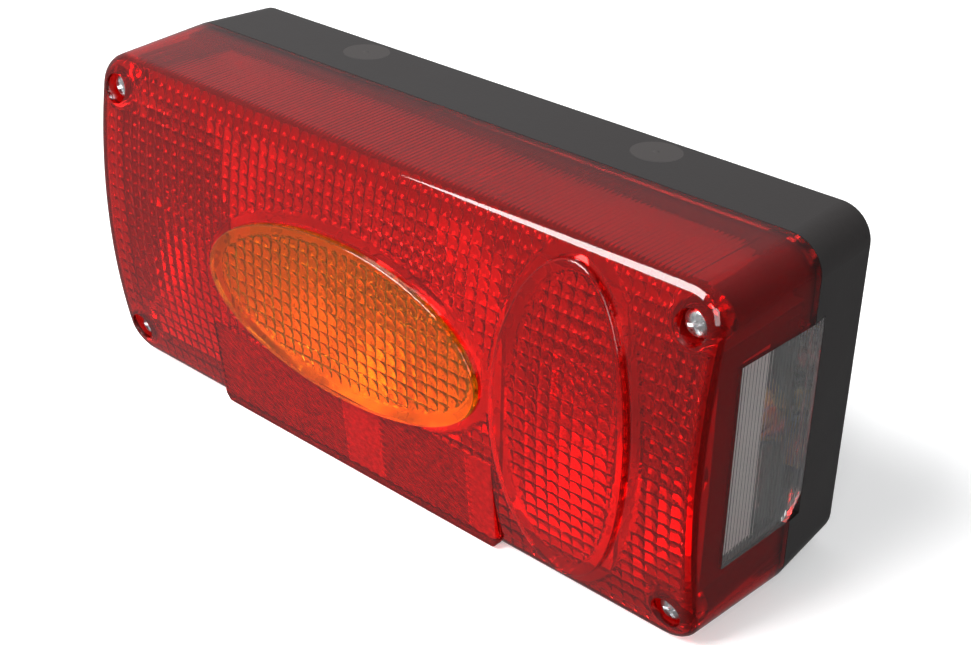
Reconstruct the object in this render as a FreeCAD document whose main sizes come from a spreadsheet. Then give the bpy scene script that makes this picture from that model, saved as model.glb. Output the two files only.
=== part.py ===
"""Trailer tail light: a box lamp with a one-piece red lens, four bayonet bulbs and two mounting studs.

Frame: the origin is the centre of the flat back, halfway between the two studs. +X is to the
right seen from the front, +Z is up and +Y points into the vehicle, so the lens faces -Y.
A depth is a distance from the back towards the front, so depth is -Y.
"""
import FreeCAD, Part
import Sketcher
import math
import os
import re

doc = FreeCAD.newDocument("trailer_tail_light")
sheet = doc.addObject("Spreadsheet::Sheet", "Sizes")

SIZES = {
    # housing: a drafted tray, open at the front
    "seam_half_width": 110.0, "seam_half_height": 49.1,
    "back_half_width": 108.6, "back_half_height": 48.1,
    "corner_radius": 9.0, "inner_corner_radius": 6.0, "back_edge_radius": 1.2,
    "housing_depth": 24.95, "housing_wall": 3.0, "floor_thick": 2.5,
    "groove_inset": 0.9, "groove_width": 1.2, "groove_deep": 1.0, "gasket_tall": 1.25,
    # lens: straight sides and a face bent about a long axis behind the lamp
    "lens_back": 25.25, "lens_front": 67.0, "lens_wall": 2.5,
    "front_half_width": 107.5, "front_half_height": 48.65,
    "bulge_radius": 204.0, "bulge_axis": 138.4, "bulge_cut": 30.0, "front_edge_radius": 3.3,
    # lens screws, each in a cup over a tall post
    "screw_across": 100.0, "screw_up": 39.25,
    "cup_radius": 5.8, "cup_bore_radius": 4.3, "cup_back": 54.1, "cup_front": 60.4, "cup_floor": 57.2,
    "cup_hole_radius": 2.2, "post_radius": 5.3, "post_front": 53.8, "post_bore_radius": 1.8,
    "post_bore_back": 30.0, "shank_radius": 1.75, "shank_back": 35.5, "point_long": 1.5,
    "head_radius": 3.5, "head_tall": 2.0, "head_flat_radius": 2.45, "drive_width": 0.9,
    "drive_long": 4.6, "drive_deep": 1.1,
    "washer_radius": 3.8, "washer_bore_radius": 1.85, "washer_tall": 0.8,
    # raised ovals and the flat reflex panel in the lens face
    "oval_rise": 1.5, "oval_cut_back": 55.0, "oval_cut_long": 16.0,
    "amber_across": -7.0, "amber_half_long": 50.0, "amber_half_short": 23.6,
    "fog_across": 68.0, "fog_half_long": 44.2, "fog_half_short": 20.6,
    "reflex_left": -60.5, "reflex_right": 46.5, "reflex_top": -20.8, "reflex_bottom": -48.6,
    "reflex_top_depth": 64.54, "reflex_bottom_depth": 61.7, "reflex_thick": 2.5, "reflex_corner": 2.0,
    "backing_top": -24.2, "backing_bottom": -45.4, "backing_thick": 1.2, "backing_inset": 1.0,
    # number-plate window in the right side, with a tongue that enters the housing
    "window_front": 52.3, "window_back": 20.7, "window_bottom": -27.2, "window_top": 28.4,
    "window_chamfer": 6.0, "window_back_half_width": 109.76, "window_gap": 0.35,
    # reflector tray with four compartments
    "tray_half_width": 104.4, "tray_half_height": 40.0, "tray_back": 24.2, "tray_front": 57.0,
    "tray_wall": 1.2, "notch_across": 93.7, "notch_up": 32.9,
    "wall_stop": -57.5, "wall_fog": 45.3, "wall_plate": 82.0, "bulb_hole_radius": 9.5,
    "side_window_front": 37.0, "side_window_bottom": -29.0, "side_window_top": 30.0,
    "pillar_left": -50.0, "pillar_right": 40.0, "pillar_up": 35.0, "pillar_radius": 4.0,
    "tray_screw_radius": 1.45, "tray_screw_back": 14.0, "tray_head_radius": 3.0, "tray_head_tall": 1.8,
    # bulbs, sockets and their contacts
    "stop_across": -90.0, "indicator_across": -7.0, "fog_bulb_across": 62.0, "plate_across": 94.5,
    "socket_radius": 8.4, "socket_bore_radius": 7.6, "socket_back": 4.5, "socket_front": 23.0,
    "socket_floor": 5.3, "socket_hole_radius": 4.5, "tab_half_width": 5.0, "tab_top": 14.0,
    "tab_bottom": 7.7, "strip_front": 3.3, "slot_low": -1.4, "slot_entry": 1.3, "slot_high": 4.3,
    "slot_back": 15.6, "slot_front": 19.9, "pin_depth": 18.5, "pin_radius": 1.0, "pin_reach": 8.5,
    "cap_radius": 7.5, "cap_back": 11.0, "cap_front": 25.8, "cap_wall": 0.6, "contact_radius": 2.6,
    "carrier_back": 7.8, "carrier_front": 9.0, "stud_back": 6.4, "bulb_back": 9.3,
    "cap_end_radius": 3.6, "cap_bevel": 1.0, "bead_deep": 3.0, "spring_radius": 3.5,
    "spring_bore_radius": 2.8, "glass_wall": 0.5, "glass_neck_radius": 6.6, "glass_neck": 23.0,
    "neck_end": 28.0, "filament_half": 3.2, "filament_radius": 0.35, "wire_radius": 0.4,
    "large_belly_radius": 12.5, "large_belly_start": 37.0, "large_belly_end": 48.0,
    "large_crown_radius": 7.2, "large_crown": 57.0, "large_tip": 59.3, "large_filament": 41.0,
    "small_belly_radius": 7.6, "small_belly_start": 32.0, "small_belly_end": 39.0,
    "small_crown_radius": 4.2, "small_crown": 44.4, "small_tip": 45.6, "small_filament": 34.8,
    # contact strips on the housing floor
    "earth_bottom": 6.5, "earth_left": -97.0, "earth_right": 101.5, "strip_half_width": 2.5,
    "feed_top": 3.0, "inner_row": -18.0, "outer_row": -26.0, "blade_front": 11.0, "blade_thick": 0.8,
    "blade_left": 22.0, "blade_right": 33.0,
    # cable grommet and mounting studs
    "grommet_across": 27.5, "grommet_up": 28.0, "grommet_hole_radius": 6.0, "grommet_bore_radius": 3.5,
    "grommet_flange_radius": 7.5, "grommet_flange": 1.6, "grommet_bevel": 1.0,
    "stud_half_pitch": 76.0, "stud_radius": 2.5, "stud_reach": 20.0, "stud_head_radius": 4.6,
    "stud_head_tall": 3.5, "collar_radius": 3.5, "stud_point": 1.0, "stud_point_radius": 1.8,
    # how far a cut runs on past the surface that it opens
    "overrun": 1.0,
}

for row, (alias, number) in enumerate(SIZES.items(), start=1):
    sheet.set("A%d" % row, alias)
    sheet.set("B%d" % row, str(number))
    sheet.setAlias("B%d" % row, alias)
doc.recompute()

BULBS = {"stop": "stop_across", "indicator": "indicator_across", "fog": "fog_bulb_across",
         "plate": "plate_across"}
CORNERS = {"top_left": (-1, 1), "top_right": (1, 1), "bottom_left": (-1, -1), "bottom_right": (1, -1)}
parts = []


def formula(text):
    """A size formula with each alias written as a reference to the sheet."""
    return re.sub(r"[a-z][a-z_]+", lambda word: "Sizes." + word.group(), str(text))


def value(text):
    """The number that a size formula gives now."""
    return float(sheet.evalExpression(formula(text)))


def new_body(label):
    """A sub-part: a body whose label is the name of its file."""
    body = doc.addObject("PartDesign::Body", label)
    body.Label = label
    parts.append(body)
    return body


def new_sketch(body, plane, offset="0"):
    """A sketch on one of the body's origin planes, moved along its normal."""
    sketch = body.newObject("Sketcher::SketchObject", "Sketch")
    base = [feature for feature in body.Origin.OriginFeatures if feature.Role == plane]
    sketch.AttachmentSupport = [(base[0], "")]
    sketch.MapMode = "FlatFace"
    sketch.setExpression("AttachmentOffset.Base.z", formula(offset))
    doc.recompute()
    return sketch


def bind(sketch, kind, references, text):
    """A dimension of the sketch, bound to a size formula."""
    index = sketch.addConstraint(Sketcher.Constraint(kind, *references, value(text)))
    sketch.setExpression("Constraints[%d]" % index, formula(text))


def hold(sketch, geometry, point, across, up):
    """A sketch point held at two bound distances from the origin, or on an axis where one is zero."""
    for kind, axis, text in (("DistanceX", -2, across), ("DistanceY", -1, up)):
        if value(text) == 0:
            sketch.addConstraint(Sketcher.Constraint("PointOnObject", geometry, point, axis))
        else:
            bind(sketch, kind, (-1, 1, geometry, point), text)


def polygon(sketch, corners):
    """A closed outline through corners, each given as two formulas."""
    points = [FreeCAD.Vector(value(across), value(up), 0) for across, up in corners]
    first = sketch.GeometryCount
    count = len(points)
    for index in range(count):
        sketch.addGeometry(Part.LineSegment(points[index], points[(index + 1) % count]), False)
    for index in range(count):
        following = first + (index + 1) % count
        sketch.addConstraint(Sketcher.Constraint("Coincident", first + index, 2, following, 1))
    for index, (across, up) in enumerate(corners):
        hold(sketch, first + index, 1, across, up)
    return sketch


def rectangle(sketch, left, right, bottom, top):
    """A rectangle between four formulas."""
    return polygon(sketch, [(left, bottom), (right, bottom), (right, top), (left, top)])


def circle(sketch, across, up, radius):
    """A circle with a bound centre and radius."""
    centre = FreeCAD.Vector(value(across), value(up), 0)
    index = sketch.addGeometry(Part.Circle(centre, FreeCAD.Vector(0, 0, 1), value(radius)), False)
    bind(sketch, "Radius", (index,), radius)
    hold(sketch, index, 3, across, up)
    return sketch


def ellipse(sketch, across, half_width, half_height):
    """An upright or level ellipse on the lamp's middle line."""
    centre = FreeCAD.Vector(value(across), 0, 0)
    wide = value(half_width) > value(half_height)
    long_half, short_half = (half_width, half_height) if wide else (half_height, half_width)
    long_way = FreeCAD.Vector(1, 0, 0) if wide else FreeCAD.Vector(0, 1, 0)
    short_way = FreeCAD.Vector(0, 1, 0) if wide else FreeCAD.Vector(-1, 0, 0)
    shape = Part.Ellipse(centre + long_way * value(long_half), centre + short_way * value(short_half), centre)
    index = sketch.addGeometry(shape, False)
    sketch.exposeInternalGeometry(index)
    sketch.addConstraint(Sketcher.Constraint("Horizontal" if wide else "Vertical", index + 1))
    bind(sketch, "Distance", (index + 1,), "2 * " + long_half)
    bind(sketch, "Distance", (index + 2,), "2 * " + short_half)
    hold(sketch, index, 3, across, "0")
    return sketch


def pad(body, sketch, length, middle=False, backward=False):
    """Material from the sketch along its normal."""
    feature = body.newObject("PartDesign::Pad", "Pad")
    feature.Profile = sketch
    feature.Midplane = middle
    feature.Reversed = backward
    feature.setExpression("Length", formula(length))
    doc.recompute()
    return feature


def pocket(body, sketch, length, middle=False, backward=False):
    """Material taken away from the sketch along its normal; it has to remove something."""
    before = body.Shape.Volume
    feature = body.newObject("PartDesign::Pocket", "Pocket")
    feature.Profile = sketch
    feature.Midplane = middle
    feature.Reversed = not backward
    feature.setExpression("Length", formula(length))
    doc.recompute()
    if body.Shape.Volume >= before:
        raise ValueError("%s: a pocket cuts nothing" % body.Label)
    return feature


def turn(body, corners):
    """A solid turned about the Y axis from corners given as radius and Y."""
    sketch = polygon(new_sketch(body, "XY_Plane"), corners)
    feature = body.newObject("PartDesign::Revolution", "Revolution")
    feature.Profile = sketch
    feature.ReferenceAxis = (sketch, ["V_Axis"])
    feature.Angle = 360
    doc.recompute()
    return feature


def loft(body, kind, back, front):
    """A block with drafted sides between two centred rectangles, each a half width, half height and depth."""
    ends = []
    for half_width, half_height, depth in (back, front):
        sketch = new_sketch(body, "XZ_Plane", depth)
        rectangle(sketch, "-" + half_width, half_width, "-" + half_height, half_height)
        ends.append(sketch)
    feature = body.newObject("PartDesign::" + kind, kind)
    feature.Profile = ends[0]
    feature.Sections = [ends[1]]
    feature.Ruled = True
    doc.recompute()
    return feature


def round_edges(body, radius, wanted):
    """A fillet on the edges for which wanted is true."""
    tip = body.Tip
    names = ["Edge%d" % number for number, edge in enumerate(tip.Shape.Edges, start=1) if wanted(edge)]
    feature = body.newObject("PartDesign::Fillet", "Fillet")
    feature.Base = (tip, names)
    feature.setExpression("Radius", formula(radius))
    doc.recompute()
    return feature


def runs_deep(edge):
    """True for an edge that runs mostly from back to front."""
    start, end = edge.Vertexes[0].Point, edge.Vertexes[-1].Point
    return abs(end.y - start.y) > 0.9 * start.distanceToPoint(end) > 0


def place(body, across, up="0"):
    """The body's place on the back face, bound to two formulas."""
    body.setExpression("Placement.Base.x", formula(across))
    body.setExpression("Placement.Base.z", formula(up))


def bend_face(body, radius):
    """The front cut to a cylinder about the lens's long axis."""
    sketch = new_sketch(body, "YZ_Plane")
    circle(sketch, "bulge_axis", "0", radius)
    circle(sketch, "bulge_axis", "0", radius + " + bulge_cut")
    return pocket(body, sketch, "3 * seam_half_width", middle=True)


def hollow_face(body, radius):
    """The back cut to a cylinder about the lens's long axis."""
    sketch = circle(new_sketch(body, "YZ_Plane"), "bulge_axis", "0", radius)
    return pocket(body, sketch, "3 * seam_half_width", middle=True)


def corner_circles(sketch, radius):
    """One circle at each lens screw."""
    for side, level in CORNERS.values():
        circle(sketch, "%d * screw_across" % side, "%d * screw_up" % level, radius)
    return sketch


def pillar_circles(sketch, radius):
    """One circle at each tray screw."""
    for across in ("pillar_left", "pillar_right"):
        circle(sketch, across, "pillar_up", radius)
        circle(sketch, across, "-pillar_up", radius)
    return sketch


def make_housing():
    """Black moulded tray with posts for the lens, pillars for the reflector and holes in its back."""
    body = new_body("housing")
    loft(body, "AdditiveLoft", ("back_half_width", "back_half_height", "0"),
         ("seam_half_width", "seam_half_height", "housing_depth"))
    round_edges(body, "corner_radius", runs_deep)
    round_edges(body, "back_edge_radius", lambda edge: edge.BoundBox.YMin > -value("back_edge_radius"))
    inner_width = "(seam_half_width - housing_wall)"
    inner_height = "(seam_half_height - housing_wall)"
    floor_width = "(back_half_width - housing_wall)"
    floor_height = "(back_half_height - housing_wall)"
    loft(body, "SubtractiveLoft", (floor_width, floor_height, "floor_thick"),
         (inner_width, inner_height, "housing_depth"))
    outer_side = value("seam_half_width - housing_wall")
    inner_side = value("back_half_width - 2 * housing_wall")
    round_edges(body, "inner_corner_radius",
                lambda edge: runs_deep(edge) and inner_side < abs(edge.CenterOfMass.x) < outer_side)
    pad(body, corner_circles(new_sketch(body, "XZ_Plane", "floor_thick / 2"), "post_radius"),
        "post_front - floor_thick / 2")
    pad(body, pillar_circles(new_sketch(body, "XZ_Plane", "floor_thick / 2"), "pillar_radius"),
        "tray_back - floor_thick / 2")
    pocket(body, corner_circles(new_sketch(body, "XZ_Plane", "post_bore_back"), "post_bore_radius"),
           "post_front - post_bore_back")
    pocket(body, pillar_circles(new_sketch(body, "XZ_Plane", "tray_screw_back"), "tray_screw_radius"),
           "tray_back - tray_screw_back")
    back_holes = new_sketch(body, "XZ_Plane")
    circle(back_holes, "grommet_across", "grommet_up", "grommet_hole_radius")
    circle(back_holes, "stud_half_pitch", "0", "collar_radius")
    circle(back_holes, "-stud_half_pitch", "0", "collar_radius")
    pocket(body, back_holes, "floor_thick")
    groove = new_sketch(body, "XZ_Plane", "housing_depth - groove_deep")
    ring_outline(groove)
    pocket(body, groove, "groove_deep")
    notch = new_sketch(body, "XZ_Plane", "window_back - window_gap")
    rectangle(notch, "notch_across", "seam_half_width + overrun", "window_bottom - window_gap",
              "window_top + window_gap")
    pocket(body, notch, "housing_depth")
    return body


def rounded(sketch, half_width, half_height, radius):
    """A centred rectangle with round corners, its arcs tangent to its sides."""
    wide, tall, bend = value(half_width), value(half_height), value(radius)
    first = sketch.GeometryCount
    quarter = math.pi / 2
    for number, (side, level) in enumerate(((1, 1), (-1, 1), (-1, -1), (1, -1))):
        centre = FreeCAD.Vector(side * (wide - bend), level * (tall - bend), 0)
        whole = Part.Circle(centre, FreeCAD.Vector(0, 0, 1), bend)
        sketch.addGeometry(Part.ArcOfCircle(whole, number * quarter, (number + 1) * quarter), False)
    for index in range(4):
        here = sketch.getPoint(first + index, 2)
        there = sketch.getPoint(first + (index + 1) % 4, 1)
        line = sketch.addGeometry(Part.LineSegment(here, there), False)
        sketch.addConstraint(Sketcher.Constraint("Tangent", first + index, 2, line, 1))
        sketch.addConstraint(Sketcher.Constraint("Tangent", line, 2, first + (index + 1) % 4, 1))
        bind(sketch, "Radius", (first + index,), radius)
    bind(sketch, "DistanceX", (-1, 1, first, 1), half_width)
    bind(sketch, "DistanceY", (-1, 1, first, 2), half_height)
    bind(sketch, "DistanceX", (-1, 1, first + 2, 1), "-" + half_width)
    bind(sketch, "DistanceY", (-1, 1, first + 2, 2), "-" + half_height)
    return sketch


def ring_outline(sketch):
    """The gasket's ring: two round-cornered rectangles, one groove width apart."""
    for inset in ("groove_inset", "(groove_inset + groove_width)"):
        rounded(sketch, "(seam_half_width - %s)" % inset, "(seam_half_height - %s)" % inset,
                "(corner_radius - %s)" % inset)
    return sketch


def make_gasket():
    """Soft sealing cord in the groove of the rim, open where the window's tongue passes."""
    body = new_body("gasket")
    pad(body, ring_outline(new_sketch(body, "XZ_Plane", "housing_depth - groove_deep")), "gasket_tall")
    gap = new_sketch(body, "XZ_Plane", "window_back")
    rectangle(gap, "notch_across", "seam_half_width + overrun", "window_bottom - window_gap",
              "window_top + window_gap")
    pocket(body, gap, "housing_depth")
    return body


def make_lens_core():
    """The hollow of the lens, used only to cut it out."""
    body = new_body("lens_core")
    parts.remove(body)
    loft(body, "AdditiveLoft",
         ("(seam_half_width - lens_wall)", "(seam_half_height - lens_wall)", "lens_back - overrun"),
         ("(front_half_width - lens_wall)", "(front_half_height - lens_wall)", "lens_front"))
    round_edges(body, "corner_radius - lens_wall", runs_deep)
    bend_face(body, "(bulge_radius - lens_wall)")
    return body


def make_lens_shell():
    """Red moulded cover with a bent face, four screw cups and openings for its inserts."""
    body = new_body("lens_shell")
    loft(body, "AdditiveLoft", ("seam_half_width", "seam_half_height", "lens_back"),
         ("front_half_width", "front_half_height", "lens_front"))
    round_edges(body, "corner_radius", runs_deep)
    bend_face(body, "bulge_radius")
    behind_face = -value("cup_back")
    round_edges(body, "front_edge_radius",
                lambda edge: edge.BoundBox.YMax < behind_face and not runs_deep(edge))
    core = make_lens_core()
    hollow = body.newObject("PartDesign::Boolean", "Hollow")
    hollow.setObjects([core])
    hollow.Type = "Cut"
    doc.recompute()
    pad(body, corner_circles(new_sketch(body, "XZ_Plane", "cup_back"), "cup_radius"), "cup_front - cup_back")
    pocket(body, corner_circles(new_sketch(body, "XZ_Plane", "cup_floor"), "cup_bore_radius"),
           "lens_front - cup_floor")
    pocket(body, corner_circles(new_sketch(body, "XZ_Plane", "cup_back"), "cup_hole_radius"),
           "cup_floor - cup_back")
    for across, half_width, half_height in (("amber_across", "amber_half_long", "amber_half_short"),
                                            ("fog_across", "fog_half_short", "fog_half_long")):
        hole = ellipse(new_sketch(body, "XZ_Plane", "oval_cut_back"), across, half_width, half_height)
        pocket(body, hole, "oval_cut_long")
    seat = new_sketch(body, "YZ_Plane", "reflex_left")
    polygon(seat, [("-reflex_top_depth + reflex_thick", "reflex_top"), ("-lens_front", "reflex_top"),
                   ("-lens_front", "reflex_bottom - overrun"),
                   ("-reflex_bottom_depth + reflex_thick", "reflex_bottom - overrun"),
                   ("-reflex_bottom_depth + reflex_thick", "reflex_bottom")])
    pocket(body, seat, "reflex_right - reflex_left")
    backing_seat = backing_section(new_sketch(body, "YZ_Plane", "reflex_left + backing_inset"), "-lens_front")
    pocket(body, backing_seat, "reflex_right - reflex_left - 2 * backing_inset")
    opening = new_sketch(body, "XZ_Plane", "lens_back - overrun")
    rectangle(opening, "notch_across", "seam_half_width + overrun", "window_bottom", "window_top")
    pocket(body, opening, "window_front - lens_back + overrun")
    return body


def make_oval(label, across, half_width, half_height):
    """A raised oval insert that follows the bent face and fills its hole in the lens."""
    body = new_body(label)
    outline = ellipse(new_sketch(body, "XZ_Plane", "oval_cut_back"), across, half_width, half_height)
    pad(body, outline, "oval_cut_long")
    bend_face(body, "(bulge_radius + oval_rise)")
    hollow_face(body, "(bulge_radius - lens_wall)")
    return body


def make_reflex_reflector():
    """Flat red reflex panel, flush with the face at its top edge and proud of it at the bottom."""
    body = new_body("reflex_reflector")
    section = new_sketch(body, "YZ_Plane", "reflex_left")
    polygon(section, [("-reflex_top_depth + reflex_thick", "reflex_top"), ("-reflex_top_depth", "reflex_top"),
                      ("-reflex_bottom_depth", "reflex_bottom"),
                      ("-reflex_bottom_depth + reflex_thick", "reflex_bottom")])
    pad(body, section, "reflex_right - reflex_left")
    foot = value("reflex_bottom + overrun")
    round_edges(body, "reflex_corner", lambda edge: edge.CenterOfMass.z < foot and runs_deep(edge))
    overlap = ellipse(new_sketch(body, "XZ_Plane", "oval_cut_back"), "amber_across",
                      "amber_half_long", "amber_half_short")
    pocket(body, overlap, "oval_cut_long")
    return body


def backing_section(sketch, front=None):
    """The sloping section of the plate behind the reflex panel, or of all that lies in front of its back."""
    slope = "(reflex_top_depth - reflex_bottom_depth) / (reflex_top - reflex_bottom)"
    top = "-reflex_top_depth + reflex_thick + (reflex_top - backing_top) * " + slope
    bottom = "-reflex_top_depth + reflex_thick + (reflex_top - backing_bottom) * " + slope
    return polygon(sketch, [(front or top, "backing_top"), (front or bottom, "backing_bottom"),
                            (bottom + " + backing_thick", "backing_bottom"),
                            (top + " + backing_thick", "backing_top")])


def make_reflex_backing():
    """Plate welded behind the reflex panel, which keeps its prisms dry."""
    body = new_body("reflex_backing")
    section = backing_section(new_sketch(body, "YZ_Plane", "reflex_left + backing_inset"))
    pad(body, section, "reflex_right - reflex_left - 2 * backing_inset")
    return body


def make_plate_window():
    """Clear side window that lights the number plate; its rear edge is a tongue past the seam."""
    body = new_body("plate_window")
    lean = "(seam_half_width - front_half_width) / (lens_front - lens_back)"
    front = "seam_half_width - (window_front - lens_back) * " + lean
    section = new_sketch(body, "XY_Plane", "window_bottom")
    polygon(section, [(front, "-window_front"), ("seam_half_width", "-lens_back"),
                      ("window_back_half_width", "-window_back"),
                      ("window_back_half_width - lens_wall", "-window_back"),
                      ("seam_half_width - lens_wall", "-lens_back"),
                      (front + " - lens_wall", "-window_front")])
    pad(body, section, "window_top - window_bottom")
    corner = new_sketch(body, "YZ_Plane", "notch_across")
    polygon(corner, [("-window_back - window_chamfer", "window_bottom"), ("-window_back", "window_bottom"),
                     ("-window_back", "window_bottom + window_chamfer")])
    pocket(body, corner, "seam_half_width - notch_across + overrun")
    return body


def notched(left, right, half_height, notch_across, notch_up):
    """Corners of a box outline with a step cut out at each corner that lies past notch_across."""
    corners = []
    for level in ("-", ""):
        step = "%s(%s)" % (level, notch_up)
        edge = "%s(%s)" % (level, half_height)
        run = []
        if left.startswith("-("):
            run += [(left, step), ("-(%s)" % notch_across, step), ("-(%s)" % notch_across, edge)]
        else:
            run += [(left, edge)]
        if right.startswith("("):
            run += [("(%s)" % notch_across, edge), ("(%s)" % notch_across, step), (right, step)]
        else:
            run += [(right, edge)]
        corners += run if level else run[::-1]
    return corners


def make_reflector_tray():
    """White and metallised inner tray with one compartment for each bulb."""
    body = new_body("reflector_tray")
    outline = notched("-(tray_half_width)", "(tray_half_width)", "tray_half_height",
                      "notch_across", "notch_up")
    pad(body, polygon(new_sketch(body, "XZ_Plane", "tray_back"), outline), "tray_front - tray_back")
    walls = [("-(tray_half_width - tray_wall)", "wall_stop - tray_wall / 2"),
             ("wall_stop + tray_wall / 2", "wall_fog - tray_wall / 2"),
             ("wall_fog + tray_wall / 2", "wall_plate - tray_wall / 2"),
             ("wall_plate + tray_wall / 2", "(tray_half_width - tray_wall)")]
    for left, right in walls:
        room = notched(left, right, "tray_half_height - tray_wall",
                       "notch_across - tray_wall", "notch_up - tray_wall")
        floor = new_sketch(body, "XZ_Plane", "tray_back + tray_wall")
        pocket(body, polygon(floor, room), "tray_front - tray_back")
    holes = new_sketch(body, "XZ_Plane", "tray_back")
    for across in BULBS.values():
        circle(holes, across, "0", "bulb_hole_radius")
    pillar_circles(holes, "tray_screw_radius")
    pocket(body, holes, "tray_wall")
    side = new_sketch(body, "XZ_Plane", "tray_back + tray_wall")
    rectangle(side, "tray_half_width - 2 * tray_wall", "tray_half_width + tray_wall",
              "side_window_bottom", "side_window_top")
    pocket(body, side, "side_window_front - tray_back - tray_wall")
    return body


def make_tray_screws():
    """Four self-tapping screws that hold the tray to its pillars."""
    body = new_body("tray_screws")
    pad(body, pillar_circles(new_sketch(body, "XZ_Plane", "tray_screw_back"), "tray_screw_radius"),
        "tray_back + tray_wall - tray_screw_back")
    pad(body, pillar_circles(new_sketch(body, "XZ_Plane", "tray_back + tray_wall"), "tray_head_radius"),
        "tray_head_tall")
    return body


def make_lens_screw(label, side, level):
    """Self-tapping lens screw with a round head and a combined cross and slot drive."""
    body = new_body(label)
    under = "(cup_floor + washer_tall)"
    top = "-%s - head_tall" % under
    turn(body, [("0", "-shank_back"), ("shank_radius", "-shank_back - point_long"),
                ("shank_radius", "-" + under), ("head_radius", "-" + under),
                ("head_radius", top + " / 2"), ("head_flat_radius", top), ("0", top)])
    drive = new_sketch(body, "XZ_Plane", "cup_floor + washer_tall + head_tall - drive_deep")
    bar, reach = "drive_width / 2", "drive_long / 2"
    polygon(drive, [("-" + reach, "-" + bar), ("-" + bar, "-" + bar), ("-" + bar, "-" + reach),
                    (bar, "-" + reach), (bar, "-" + bar), (reach, "-" + bar), (reach, bar), (bar, bar),
                    (bar, reach), ("-" + bar, reach), ("-" + bar, bar), ("-" + reach, bar)])
    pocket(body, drive, "drive_deep + overrun")
    place(body, "%d * screw_across" % side, "%d * screw_up" % level)
    return body


def make_lens_washer(label, side, level):
    """Rubber sealing ring under a lens screw's head."""
    body = new_body(label)
    ring = new_sketch(body, "XZ_Plane", "cup_floor")
    circle(ring, "0", "0", "washer_radius")
    circle(ring, "0", "0", "washer_bore_radius")
    pad(body, ring, "washer_tall")
    place(body, "%d * screw_across" % side, "%d * screw_up" % level)
    return body


def make_socket(label, across):
    """Plated bulb socket: a tube with a floor, two bayonet slots and a tab to the earth strip."""
    body = new_body(label)
    turn(body, [("socket_hole_radius", "-socket_back"), ("socket_radius", "-socket_back"),
                ("socket_radius", "-socket_front"), ("socket_bore_radius", "-socket_front"),
                ("socket_bore_radius", "-socket_floor"), ("socket_hole_radius", "-socket_floor")])
    tab = new_sketch(body, "XZ_Plane", "strip_front")
    rectangle(tab, "-tab_half_width", "tab_half_width", "tab_bottom", "tab_top")
    pad(body, tab, "socket_floor - strip_front")
    slot = new_sketch(body, "YZ_Plane", "socket_hole_radius")
    polygon(slot, [("-slot_back", "slot_low"), ("-slot_front", "slot_low"), ("-slot_front", "slot_entry"),
                   ("-socket_front - overrun", "slot_entry"), ("-socket_front - overrun", "slot_high"),
                   ("-slot_back", "slot_high")])
    cut = pocket(body, slot, "socket_radius")
    pair = body.newObject("PartDesign::PolarPattern", "SlotPair")
    pair.Originals = [cut]
    axis = [feature for feature in body.Origin.OriginFeatures if feature.Role == "Y_Axis"]
    pair.Axis = (axis[0], [""])
    pair.Angle = 360
    pair.Occurrences = 2
    body.Tip = pair
    place(body, across)
    return body


def make_carrier(label, across):
    """Insulating disc with a brass stud that slides in the socket and presses on the bulb."""
    body = new_body(label)
    turn(body, [("0", "-stud_back"), ("contact_radius", "-stud_back"), ("contact_radius", "-carrier_back"),
                ("cap_radius", "-carrier_back"), ("cap_radius", "-carrier_front"),
                ("contact_radius", "-carrier_front"), ("contact_radius", "-bulb_back"), ("0", "-bulb_back")])
    place(body, across)
    return body


def make_spring(label, across):
    """Contact spring between a feed strip and its carrier, as a plain tube."""
    body = new_body(label)
    ring = new_sketch(body, "XZ_Plane", "strip_front")
    circle(ring, "0", "0", "spring_radius")
    circle(ring, "0", "0", "spring_bore_radius")
    pad(body, ring, "carrier_back - strip_front")
    place(body, across)
    return body


def make_bulb_cap(label, across):
    """Brass bayonet cap with its two pins and its end contact."""
    body = new_body(label)
    turn(body, [("0", "-bulb_back"), ("contact_radius", "-bulb_back"), ("cap_end_radius", "-cap_back"),
                ("cap_radius - cap_bevel", "-cap_back"), ("cap_radius", "-cap_back - cap_bevel"),
                ("cap_radius", "-cap_front"), ("cap_radius - cap_wall", "-cap_front"),
                ("cap_radius - cap_wall", "-cap_back - bead_deep"), ("0", "-cap_back - bead_deep")])
    pins = circle(new_sketch(body, "YZ_Plane"), "-pin_depth", "0", "pin_radius")
    pad(body, pins, "2 * pin_reach", middle=True)
    bore = new_sketch(body, "XZ_Plane", "cap_back + bead_deep")
    circle(bore, "0", "0", "cap_radius - cap_wall")
    pocket(body, bore, "cap_front - cap_back")
    place(body, across)
    return body


def make_bulb_glass(label, across, kind):
    """Blown glass envelope, large or small, hollow and open at its neck."""
    body = new_body(label)
    belly = kind + "_belly_radius"
    profile = [("glass_neck_radius", "glass_neck"), ("glass_neck_radius", "neck_end"),
               (belly, kind + "_belly_start"), (belly, kind + "_belly_end"),
               (kind + "_crown_radius", kind + "_crown")]
    tip = kind + "_tip"
    outer = [(radius, "-" + depth) for radius, depth in profile]
    inner = [(radius + " - glass_wall", "-%s + glass_wall" % depth) for radius, depth in profile[1:]]
    turn(body, outer + [("0", "-" + tip), ("0", "-%s + glass_wall" % tip)] + inner[::-1]
         + [("glass_neck_radius - glass_wall", "-glass_neck")])
    place(body, across)
    return body


def make_filament(label, across, kind):
    """Filament on its two lead wires, which stand in the cap's bead."""
    body = new_body(label)
    depth = kind + "_filament"
    wires = new_sketch(body, "XZ_Plane", "cap_back + bead_deep")
    circle(wires, "-filament_half", "0", "wire_radius")
    circle(wires, "filament_half", "0", "wire_radius")
    pad(body, wires, "%s - cap_back - bead_deep" % depth)
    coil = circle(new_sketch(body, "YZ_Plane"), "-" + depth, "0", "filament_radius")
    pad(body, coil, "2 * filament_half + wire_radius", middle=True)
    place(body, across)
    return body


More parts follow.
